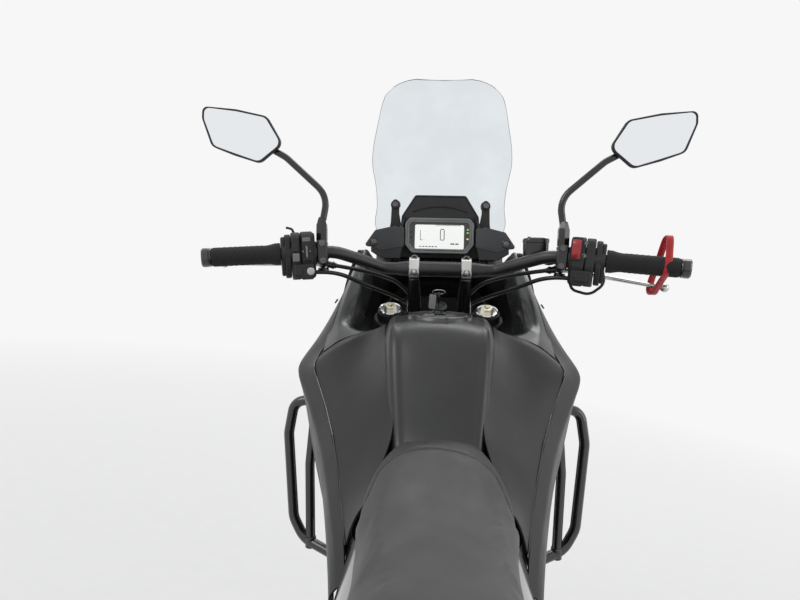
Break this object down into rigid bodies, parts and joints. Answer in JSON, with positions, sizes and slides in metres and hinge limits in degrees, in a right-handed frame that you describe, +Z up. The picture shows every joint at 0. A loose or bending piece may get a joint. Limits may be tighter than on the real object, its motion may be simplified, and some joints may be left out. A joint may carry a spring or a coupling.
{
  "type": "adventure motorcycle",
  "caption": "Tall adventure motorcycle with a clear touring screen, wide handlebar, spoked wheels, crash bars and a flat rear carrier, leaning on its side stand",
  "frame": {"origin": "on the floor under the middle of the parked machine's bounding box", "axes": "+X to the rider's right, +Y the way the machine faces, +Z up; the machine leans to the left on its side stand"},
  "size_m": [0.8794, 2.313, 1.5535],
  "materials": {
    "bar_black": "matte black",
    "bar_paint": "gloss black tube",
    "bezel_grey": "grey bezel",
    "bracket_metal": "satin casting",
    "cable_rubber": "black sheath",
    "caliper_metal": "dark grey casting",
    "cap_metal": "satin black",
    "carrier_metal": "satin black casting",
    "chain_steel": "oiled steel",
    "cockpit_plastic": "grained dark grey",
    "cover_gloss": "gloss black",
    "disc_steel": "brushed disc",
    "display_white": "pale display",
    "engine_metal": "satin black coated casting",
    "exhaust_steel": "heat-tinted brushed steel",
    "fender_plastic": "satin black",
    "fork_metal": "black tubes with gold caps",
    "frame_paint": "satin black paint",
    "front_tread": "black rubber",
    "grip_rubber": "ribbed rubber",
    "indicator_amber": "amber lens on a black stalk",
    "inner_gloss": "gloss black",
    "lamp_shell": "black housing",
    "lens_glass": "clear lens",
    "lever_metal": "silver and black",
    "mirror_plastic": "grained black",
    "mirror_silver": "silvered glass",
    "mudguard_plastic": "matte black",
    "muffler_steel": "satin dark grey",
    "nose_paint": "satin black",
    "radiator_metal": "matte black core",
    "rear_tread": "black rubber",
    "riser_metal": "grey clamps on black posts",
    "screen_glass": "clear screen",
    "seat_vinyl": "matte dark grey vinyl",
    "seat_vinyl_rear": "matte black vinyl",
    "shock_parts": "black spring and damper",
    "shroud_satin": "satin black",
    "skid_metal": "brushed plate",
    "stand_paint": "black paint",
    "steel_parts": "zinc-plated steel",
    "strap_red": "red elastic",
    "swingarm_paint": "satin black paint",
    "switch_plastic": "grained black",
    "tail_lens": "red lens",
    "tail_paint": "satin black",
    "tank_paint": "satin black",
    "wheel_black": "black rim with steel spokes",
    "yoke_metal": "satin black"
  },
  "bodies": {
    "chassis": {"frame": "frame_paint", "subframe": "frame_paint", "engine_case": "engine_metal", "cylinder_block": "engine_metal", "radiator": "radiator_metal", "exhaust_pipe": "exhaust_steel", "muffler": "muffler_steel", "skid_plate": "skid_metal", "swingarm": "swingarm_paint", "drive_sprocket": "steel_parts", "chain": "chain_steel", "shock": "shock_parts", "rear_caliper": "caliper_metal", "foot_controls": "bracket_metal", "crash_bars": "bar_paint", "fuel_tank": "tank_paint", "filler_cap": "cap_metal", "tank_covers": "cover_gloss", "side_shrouds": "shroud_satin", "inner_panels": "inner_gloss", "nose_fairing": "nose_paint", "headlight": "lamp_shell", "headlight_lenses": "lens_glass", "windscreen": "screen_glass", "instrument": "bezel_grey", "display": "display_white", "cockpit_panels": "cockpit_plastic", "rider_seat": "seat_vinyl", "pillion_seat": "seat_vinyl_rear", "rear_carrier": "carrier_metal", "tail_light": "tail_lens", "plate_holder": "mudguard_plastic", "indicators": "indicator_amber", "through_bolts": "steel_parts", "rear_panels": "tail_paint"},
    "steering": {"yokes": "yoke_metal", "fork_legs": "fork_metal", "front_axle": "steel_parts", "front_fender": "fender_plastic", "front_calipers": "caliper_metal", "handlebar": "bar_black", "risers": "riser_metal", "grips": "grip_rubber", "switchgear": "switch_plastic", "hand_levers": "lever_metal", "mirrors": "mirror_plastic", "mirror_glass": "mirror_silver", "lever_strap": "strap_red", "control_cables": "cable_rubber"},
    "front_wheel_set": {"front_tyre": "front_tread", "front_wheel": "wheel_black", "front_discs": "disc_steel"},
    "rear_wheel_set": {"rear_tyre": "rear_tread", "rear_wheel": "wheel_black", "rear_disc": "disc_steel", "rear_sprocket": "steel_parts"},
    "stand": {"side_stand": "stand_paint"}
  },
  "joints": [
    {"name": "steering_turn", "type": "hinge", "parent": "chassis", "child": "steering", "pos_m": [0.05996, 0.48453, 0.84926], "axis": [-0.1086, -0.454, 0.8844], "range_deg": [-36, 36]},
    {"name": "front_wheel_spin", "type": "hinge", "parent": "steering", "child": "front_wheel_set", "pos_m": [0.12194, 0.8095, 0.34441], "axis": [0.9925, 0, 0.1219], "continuous": true},
    {"name": "rear_wheel_spin", "type": "hinge", "parent": "chassis", "child": "rear_wheel_set", "pos_m": [0.12365, -0.7505, 0.33052], "axis": [0.9925, 0, 0.1219], "continuous": true},
    {"name": "side_stand_fold", "type": "hinge", "parent": "chassis", "child": "stand", "pos_m": [0.0132, -0.0405, 0.24542], "axis": [-0.8839, 0.0542, 0.4645], "range_deg": [0, 95]}
  ]
}
